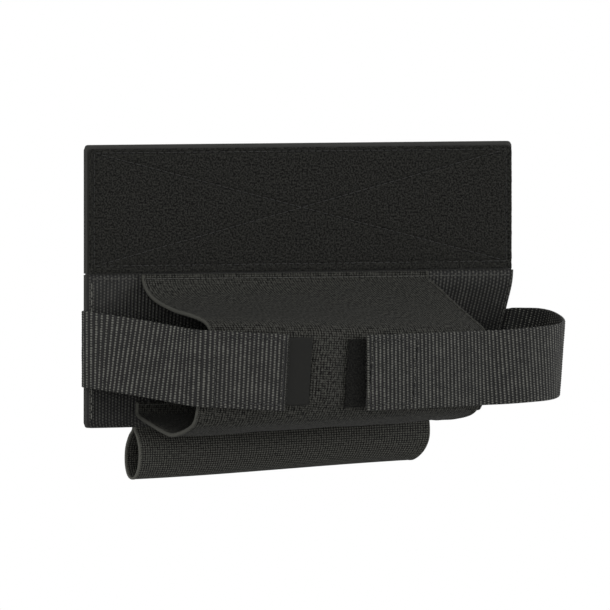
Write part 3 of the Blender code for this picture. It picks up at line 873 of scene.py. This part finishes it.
def make_sleeve():
    """The wide elastic, with doubled rims and soft waves above and below its front face."""
    width = SLEEVE_RIGHT - SLEEVE_LEFT
    u = finer_rims(edged(width, 0.9 * MM, 0.7 * MM), 0.7, 4.5, 14)
    v = edged(SLEEVE_LENGTH, 0.8 * MM, 0.7 * MM)
    columns = []
    for x in SLEEVE_LEFT + u:
        section = sleeve_section(x)
        along = distances(section)
        columns.append(read_path(section, along, v * along[-1] / SLEEVE_LENGTH))
    centre = np.array(columns)
    on_front = ease((-centre[..., 1] - 42 * MM) / (10 * MM))
    off_panel = ease((-centre[..., 1] - 10 * MM) / (12 * MM))
    waves = noise(u[:, None], v[None, :], 21 * MM, 11) + 0.5 * noise(u[:, None], v[None, :], 9 * MM, 12)
    centre[..., 2] += 0.5 * MM * waves * off_panel * (1 - on_front)
    centre = centre + swell_between_pads(centre[..., 0], centre[..., 2], on_front)
    relief = rim_relief(u, v, SLEEVE_HEM, SLEEVE_CHANNEL)
    made = shell("elastic_sleeve_band", centre, u, v, ELASTIC / 2 - 0.05 * MM, SLEEVE, front=relief,
                 back=relief, edge=0.7 * MM)
    finish_piece(made, "pouch", "elastic_webbing", "elastic_sleeve")
    outside = FLANGE_DEPTH + ELASTIC / 2
    left = SLEEVE_LEFT - SEAM_SHIFT + 2 * MM
    right = SLEEVE_RIGHT - SEAM_SHIFT - 2 * MM
    for seam, below in (("top", TOP_ROW_BELOW), ("bottom", FOOT_ROW_BELOW)):
        seam_stitches(f"sleeve_{seam}_stitches", f"sleeve_{seam}_thread", below, outside, left, right,
                      **FINE_STITCH)


# What lies on the sleeve's front face


def height_at(x, span, heights):
    """The height at x of a line that runs between the two ends of a span."""
    return heights[0] + (heights[1] - heights[0]) * (x - span[0]) / (span[1] - span[0])


def tilted(x, depth, z, tilt, w):
    """The point that lies w down a tilted face from a point of its centre line."""
    return stack(x, -depth + w * np.sin(tilt), z - w * np.cos(tilt))


def on_front(x, w, span, heights, level=0.0):
    """A point of the sleeve's front face, w down from a centre line and raised by level."""
    z = height_at(x, span, heights)
    return tilted(x, front_depth(x, z) + level, z, front_tilt(x), w)


def front_patch(name, place, tall, thickness, level, material, body, slot, node,
                step=1.0 * MM, relief=None):
    span, heights = np.array(place) * MM
    u = edged(span[1] - span[0], step, thickness / 2)
    v = edged(tall, step, thickness / 2)
    face = on_front((span[0] + u)[:, None], (v - v[-1] / 2)[None, :], span, heights)
    normal = unit(np.cross(np.gradient(face, axis=1), np.gradient(face, axis=0)))
    centre = face + normal * (level + thickness / 2)
    raised = 0.0 if relief is None else relief(u[:, None], v[None, :])
    made = shell(name, centre, u, v, thickness / 2, material, front=raised)
    finish_piece(made, body, slot, node)
    return made


def tab_stitches(name, place, tall, body, node):
    """The box of stitches that holds a hook patch to its tab."""
    span, heights = np.array(place) * MM
    parts = []
    for ends in box_sides(*span, -tall / 2, tall / 2):
        x, w = line_between(*ends, 30).T
        line = on_front(x, w, span, heights, TAB_LEVEL + WEBBING / 2)
        # The tab thread is painted darker, as painted shade in the stitch holes
        parts.append(stitches(line, (0.0, -1.0, 0.0), TAB_THREAD_PAINTED_SHADE, pitch=3.4 * MM, length=2.7 * MM,
                              radius=0.42 * MM))
    finish_piece(joined(name, parts), body, "sewing_thread", node)


# The straps: each knot is x, depth, height of the centre line in millimetres, and tilt


LEFT_RUN = [
    (-123.4, 2.7, -69.0, 0.0),
    (-126.5, 3.0, -69.0, 0.0),
    (-127.1, 4.0, -69.0, 0.0),
    (-127.2, 7.2, -69.2, 0.0),
    (-124.7, 11.5, -69.8, 0.01),
    (-116.8, 19.5, -71.4, 0.02),
    (-106.0, 33.0, -74.0, 0.04),
    (-97.0, 48.0, -76.8, 0.06),
    (-93.5, 55.0, -77.7, 0.07),
]
RIGHT_RUN = [
    (129.0, -10.6, -69.2, 0.41),
    (132.6, -5.4, -69.4, 0.37),
    (136.1, 5.5, -70.0, 0.29),
    (136.9, 18.0, -71.7, 0.20),
    (134.8, 31.0, -74.4, 0.14),
    (128.3, 42.5, -76.6, 0.13),
    (117.3, 51.0, -77.9, 0.14),
    (103.0, 55.5, -78.7, 0.16),
    (89.0, 57.0, -79.4, 0.18),
]
RIGHT_ROOT_BELOW = 39.2 * MM
ROOT_DEPTH = 3 * MM
MEETING_SHARE = 0.62
FRAY_COUNT = 260

# Each strap's run and its tab's ends, with the heights of its centre line there; where it
# turns at the sleeve's corner; how its ribs lean, as make_strap says; and where its blends
# from one body to the next start and end
LEFT_STRAP = {
    "run": LEFT_RUN,
    "tab": (-88.0 * MM, -46.1 * MM),
    "tab_z": (-78.1 * MM, -80.5 * MM),
    "hinge_x": -89.5 * MM,
    "lean": 0.14,
    "hold": 0.0,
    "cut": 0.0,
    "root_blend": ((-0.1265, -0.0035, -0.069), (-0.1265, -0.0105, -0.069)),
    "tab_blend": ((-0.0925, -0.0560, -0.078), (-0.0860, -0.0605, -0.078)),
}
RIGHT_STRAP = {
    "run": RIGHT_RUN,
    "tab": (75.0 * MM, -1.4 * MM),
    "tab_z": (-79.8 * MM, -81.2 * MM),
    "hinge_x": 76.5 * MM,
    "lean": 0.20,
    "hold": 1.0,
    "cut": 0.10,
    "root_blend": ((0.1272, 0.0117, -0.0695), (0.1318, 0.0060, -0.0694)),
    "tab_blend": ((0.0800, -0.0575, -0.0797), (0.0730, -0.0590, -0.0800)),
}

# What is sewn to the sleeve's front and to the tabs: its ends along x, and the heights of
# its centre line at those ends
LOOP_PADS = {"left": ((-88.5, -49.5), (-78.5, -80.0)), "right": ((-9.8, 33.0), (-81.2, -80.6))}
HOOK_PADS = {"left": ((-86.0, -47.8), (-78.2, -80.4)), "right": ((2.0, 30.0), (-81.2, -80.6))}
TAB_BOXES = {"left": ((-85.0, -48.4), (-78.3, -80.4)), "right": ((2.6, 29.6), (-81.2, -80.6))}
LABEL_PLACE = ((-47.2, -31.2), (-79.7, -79.7))
LOOP_LEVEL = 1.2 * MM
HOOK_LEVEL = 2.6 * MM


def tab_knots(span, heights, count):
    knots = []
    for x in steps(span[0], span[1], count):
        z = height_at(x, span, heights)
        knots.append((x, front_depth(x, z) + TAB_LEVEL, z, front_tilt(x)))
    return knots


def strap_path(root, run, tab, tab_z):
    scale = np.array([MM, MM, MM, 1.0])
    knots = list(np.array(root)) + list(np.array(run) * scale) + tab_knots(tab, tab_z, 5)
    return smooth_path(knots, 12)


def webbing(name, path, start, end, slant, outer):
    """A length of webbing between two distances along its path, ribbed on both faces.

    slant gives how far each rib leans at a distance, its upper end reaching further on.
    outer is 0 if the sheet's upper face is the outer one, and 1 if it is the inner one.
    """
    along = distances(path[:, :3])
    half = WEBBING / 2 - 0.22 * MM
    u = edged(end - start, STRAP_RIB / 6, half)
    v = edged(STRAP_WIDTH, STRAP_PICK / 4, half)
    w = (v - STRAP_WIDTH / 2)[None, :]
    at = (start + u)[:, None] - slant(start + u)[:, None] * w
    x, depth, z, tilt = np.moveaxis(read_path(path, along, at), -1, 0)
    centre = tilted(x, depth, z, tilt, w)
    across = start + u[:, None]
    uneven = across + 0.16 * MM * noise(across, v[None, :], 6 * MM, 22)
    relief = rib_relief(uneven, v[None, :], STRAP_RIB, STRAP_PICK, 0.42 * MM, 0.45)
    relief = relief - 0.12 * MM + 0.05 * MM * noise(across, v[None, :], 3 * MM, 21)
    ribbed, apart = ((0.3, 1.0), (INNER_V, 0)) if outer else ((1.0, 0.3), (0, INNER_V))
    made = shell(name, centre, start + u, v, half, STRAP, front=ribbed[0] * relief,
                 back=ribbed[1] * relief, apart=apart)
    return made


def frayed(name, path, last, cut):
    """Loose filaments on a tab's cut end."""
    along = distances(path[:, :3])
    count = FRAY_COUNT
    w = rng.uniform(-0.5, 0.5, count) * (STRAP_WIDTH - 1 * MM)
    level = rng.uniform(-0.6, 0.6, count) * MM
    start = read_path(path, along, last - cut * w - 0.5 * MM)
    ahead = unit(path[-1, :3] - path[-4, :3])
    outward = np.array([ahead[0], -ahead[1], ahead[2]])
    base = tilted(start[:, 0], start[:, 1] + level, start[:, 2], start[:, 3], w)
    reach = rng.uniform(0.6, 1.5, count) * MM
    aim = unit(outward + rng.normal(0, 0.35, (count, 3)))
    droop = rng.normal(0, 0.25, (count, 3))
    share = steps(0, 1, 4)[None, :, None]
    spines = base[:, None] + reach[:, None, None] * (aim[:, None] * share + droop[:, None] * share ** 2 * 0.5)
    radii = np.full((count, 4), 0.045 * MM)
    ups = np.broadcast_to(np.array([0.0, 0.3, 1.0]), spines.shape)
    return rods(name, spines, radii, ups, THREAD, sides=4)


def make_strap(side, root, run, tab, tab_z, hinge_x, lean, hold, cut, root_blend, tab_blend):
    """A strap in two pieces that meet in the middle of the run, which lies on one body.

    The ribs lean by lean on the run and by cut at the tab's end. hold is 0 if the lean ends
    at the sleeve's corner, and 1 if it changes slowly up to the tab's end.
    """
    path = strap_path(root, run, tab, tab_z)
    along = distances(path[:, :3])
    toward = 1 if tab[1] > tab[0] else -1
    outer = 0 if toward > 0 else 1
    late = np.arange(len(path)) > len(path) // 3
    corner = along[np.flatnonzero(late & ((path[:, 0] - hinge_x) * toward >= 0))[0]]
    meet = math.floor(MEETING_SHARE * corner / STRAP_RIB) * STRAP_RIB
    last = along[-1] - cut * STRAP_WIDTH / 2

    def slant(at):
        fade_end = corner + hold * (last - corner)
        fade_start = corner - 28 * MM
        fade = ease((at - fade_start) / (fade_end - fade_start))
        return lean * ease((at - 8 * MM) / (20 * MM)) * (1 - fade) + cut * fade

    strap_body, tab_body = f"{side}_strap", f"{side}_tab"
    first = webbing(f"{side}_strap_webbing", path, 0.0, meet + 1.2 * MM, slant, outer)
    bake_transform(first)
    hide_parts(strap_body)
    second = webbing(f"{side}_tab_webbing", path, meet, last, slant, outer)
    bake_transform(second)
    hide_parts(tab_body)
    ends = frayed(f"{side}_tab_fray", path, last, cut)
    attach(ends, tab_body)


def make_straps():
    make_strap("left", [], **LEFT_STRAP)
    roots = on_pouch(np.array([123.4, 126.9]) * MM, RIGHT_ROOT_BELOW, ROOT_DEPTH)
    make_strap("right", [(x, -y, z, CURL_ANGLE) for x, y, z in roots], **RIGHT_STRAP)


def pad_pile(u, v):
    """The lumps of a loop pad."""
    return MM * (0.14 * noise(u, v, 1.1 * MM, 5) + 0.1 * noise(u, v, 2.6 * MM, 6) - 0.1)


def make_patches():
    """The hook and loop pads that close the tabs, their boxes of stitches and the label."""
    for side, place in LOOP_PADS.items():
        # The loop pads use the darker pile: painted shade under the tabs
        front_patch(f"{side}_loop_pad", place, PATCH_HEIGHT, 1.0 * MM, LOOP_LEVEL,
                    PAD_PILE_PAINTED_SHADE, "pouch", "loop_pile", f"{side}_loop_patch", 0.6 * MM, pad_pile)
    for side, place in HOOK_PADS.items():
        front_patch(f"{side}_hook_pad", place, PATCH_HEIGHT, 1.0 * MM, HOOK_LEVEL,
                    HOOKS, f"{side}_tab", "hook_tape", f"{side}_hook_patch")
    label = front_patch("blank_label", LABEL_PLACE, 34 * MM, 0.6 * MM, HOOK_LEVEL,
                        LABEL, "left_tab", "woven_label", "label")
    for side, place in TAB_BOXES.items():
        tab_stitches(f"{side}_tab_stitches", place, 32.5 * MM, f"{side}_tab",
                     f"{side}_tab_thread")


# The shears tube: half of its outline, as distances from its middle depth and below the
# panel's foot, in millimetres


TUBE_MIDDLE = 3.0
TUBE_SIDE = [(0.55, -1.5), (0.9, 1.5), (3.8, 5.0), (6.3, 11.0), (6.2, 18.5), (3.7, 24.0)]
TUBE_FOOT = (0.0, 25.6)


def tube_section(x):
    """The tube's closed section at x, pinched where it is sewn into the panel's foot.

    Its lower edge is a little shorter than its seam, by TUBE_SKEW at the right end.
    """
    outline = TUBE_SIDE + [TUBE_FOOT] + [(-depth, below) for depth, below in reversed(TUBE_SIDE)]
    knots = [(TUBE_MIDDLE + depth, below) for depth, below in outline]
    path = smooth_path(knots + knots[:1], 12)[:-1] * MM
    share = (x - TUBE_LEFT) / (TUBE_RIGHT - TUBE_LEFT)
    lower = np.maximum(0, (path[:, 1] - TUBE_SKEW_START) / (TUBE_DROP - TUBE_SKEW_START))
    return on_pouch(x - TUBE_SKEW * share * lower ** 2, POUCH_HEIGHT + path[:, 1], path[:, 0])


def make_tube():
    width = TUBE_RIGHT - TUBE_LEFT
    u = finer_rims(edged(width, 1.5 * MM, 0.6 * MM), 0.6, 4.0, 10)
    columns = []
    count = 90
    for x in TUBE_LEFT + u:
        section = tube_section(x)
        ring = np.concatenate([section, section[:1]])
        along = distances(ring)
        columns.append(read_path(ring, along, steps(0, along[-1], count + 1)[:-1]))
    centre = np.array(columns)
    around = along[-1]
    v = steps(0, around, count + 1)[:-1]
    relief = rim_relief(u, v, TUBE_HEM, TUBE_CHANNEL)
    made = shell("shears_tube_elastic", centre, u, v, TUBE_WALL / 2 - 0.08 * MM, TUBE, front=relief,
                 back=relief, edge=0.6 * MM, closed=True)
    pinch = on_pouch(0.0, POUCH_HEIGHT + 1 * MM, 3 * MM)
    belly = on_pouch(0.0, POUCH_HEIGHT + 7 * MM, 3 * MM)
    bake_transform(made)
    finish_piece(made, None, "elastic_webbing", "shears_tube")
    seam_stitches("tube_stitches", "tube_thread", TUBE_ROW_BELOW, ON_FACING, TUBE_LEFT, TUBE_RIGHT,
                  pitch=3.4 * MM, length=2.8 * MM)


# Stage, light and camera


OVERHEAD = 0.45
UNDERFOOT = 0.60
LAMPS = (
    ("key_soft_box", (-1.9, -1.1, 1.3), (0, 0, -0.05), 0.8, 19),
    ("fill_soft_box", (1.8, -1.1, 0.2), (0, 0, -0.05), 1.0, 14),
    ("front_soft_box", (-1.35, -2.15, 0.05), (0, 0, -0.08), 0.5, 12),
    ("low_soft_box", (-1.6, -0.9, -0.35), (0, 0, -0.08), 0.7, 4),
)

# The view: its direction in degrees, and its width where it meets the object
VIEW_AZIMUTH = -32
VIEW_ELEVATION = 1.3
VIEW_TARGET = Vector((4.5, 0, -48.8)) * MM
VIEW_DISTANCE = 12.0
VIEW_WIDTH = 303.8 * MM

FLOOR_RADIUS = 1.2
FLOOR_Z = -0.30
FLOOR_GREY = 0.60


def make_stage():
    bpy.ops.mesh.primitive_circle_add(vertices=96, radius=FLOOR_RADIUS, fill_type="NGON",
                                      location=(0, 0, FLOOR_Z))
    floor = bpy.context.object
    floor.name = "pale_floor"
    material = bpy.data.materials.new("pale_floor")
    material.use_nodes = True
    shader = material.node_tree.nodes["Principled BSDF"]
    shader.inputs["Base Color"].default_value = (FLOOR_GREY, FLOOR_GREY, FLOOR_GREY, 1)
    shader.inputs["Roughness"].default_value = 0.9
    floor.data.materials.append(material)


def make_world():
    """A studio that is white at eye level and darker overhead and underfoot."""
    world = bpy.data.worlds.new("studio")
    bpy.context.scene.world = world
    world.use_nodes = True
    tree = world.node_tree
    back = tree.nodes["Background"]
    back.inputs["Color"].default_value = (1.0, 1.0, 1.0, 1)
    place = tree.nodes.new("ShaderNodeTexCoord")
    parts = tree.nodes.new("ShaderNodeSeparateXYZ")
    tree.links.new(place.outputs["Generated"], parts.inputs[0])
    product = tree.nodes.new("ShaderNodeMath")
    product.operation = "MULTIPLY"
    for index, (start, end, strength) in enumerate(((0.10, 0.40, OVERHEAD), (-0.10, -0.40, UNDERFOOT))):
        fade = tree.nodes.new("ShaderNodeMapRange")
        fade.interpolation_type = "SMOOTHSTEP"
        for name, value in (("From Min", start), ("From Max", end), ("To Max", strength)):
            fade.inputs[name].default_value = value
        fade.inputs["To Min"].default_value = 1.0
        tree.links.new(parts.outputs[2], fade.inputs["Value"])
        tree.links.new(fade.outputs[0], product.inputs[index])
    tree.links.new(product.outputs[0], back.inputs["Strength"])


def point(made, place, direction):
    """Puts a lamp or a camera in its place and points it in a direction."""
    made.location = place
    made.rotation_euler = direction.to_track_quat("-Z", "Y").to_euler()


def make_light():
    for name, place, aim, size, power in LAMPS:
        data = bpy.data.lights.new(name, "AREA")
        data.shape = "SQUARE"
        data.size = size
        data.energy = power
        point(placed(name, data), Vector(place), Vector(aim) - Vector(place))
    bpy.context.scene.view_settings.view_transform = "Standard"


def make_camera():
    azimuth, elevation = math.radians(VIEW_AZIMUTH), math.radians(VIEW_ELEVATION)
    level = math.cos(elevation)
    back = Vector((math.sin(azimuth) * level, -math.cos(azimuth) * level, math.sin(elevation)))
    data = bpy.data.cameras.new("photo_camera")
    data.sensor_width = 36
    data.lens = data.sensor_width * VIEW_DISTANCE / VIEW_WIDTH
    data.clip_start = 0.1
    data.clip_end = 50
    camera = placed("photo_camera", data)
    point(camera, VIEW_TARGET + back * VIEW_DISTANCE, -back)
    bpy.context.scene.camera = camera


make_camera()
make_stage()
make_world()
make_light()
make_pouch()
make_flap()
make_sleeve()
make_straps()
make_patches()
make_tube()
